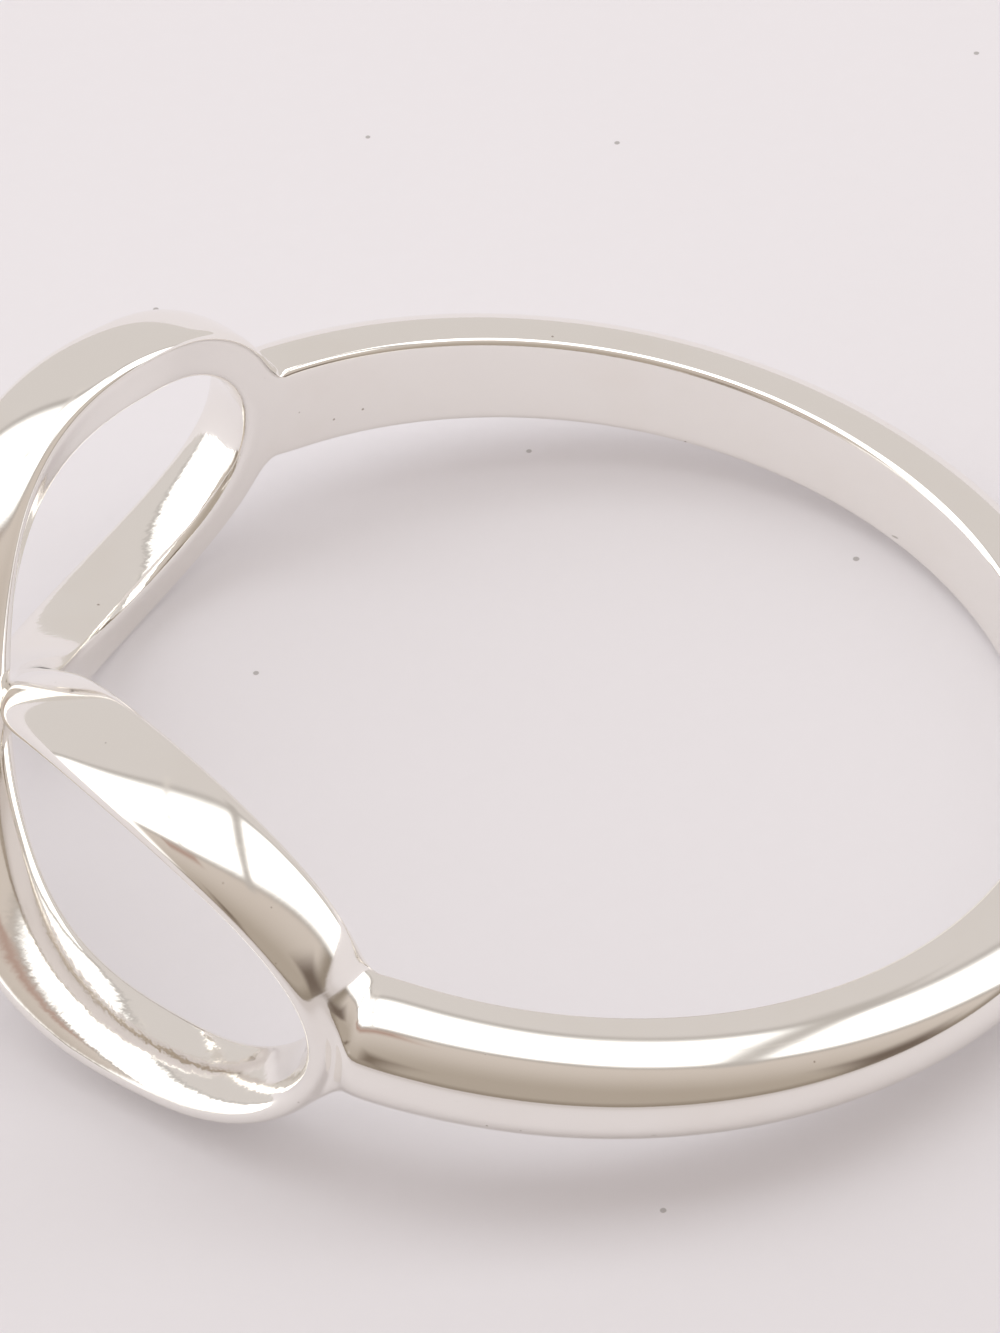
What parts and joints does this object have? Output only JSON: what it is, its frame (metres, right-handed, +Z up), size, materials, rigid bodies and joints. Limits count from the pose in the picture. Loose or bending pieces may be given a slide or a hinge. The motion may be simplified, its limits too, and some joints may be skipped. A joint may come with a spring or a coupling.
{
  "type": "infinity ring",
  "caption": "Finger ring with a half-round band, flat inside, running into a pierced figure of eight curved round the finger, one strand passing over the other.",
  "frame": {"origin": "on the floor, under the middle of the ring as it lies on its side", "axes": "+Z up, -X toward the figure of eight, +X toward the back of the band, +Y across the finger hole; the hole's axis leans 9.0 degrees from +Z toward +X"},
  "size_m": [0.0208, 0.02, 0.0066],
  "materials": {
    "silver": "mirror-polished sterling silver"
  },
  "bodies": {
    "root": {"ring": "silver"}
  },
  "joints": []
}
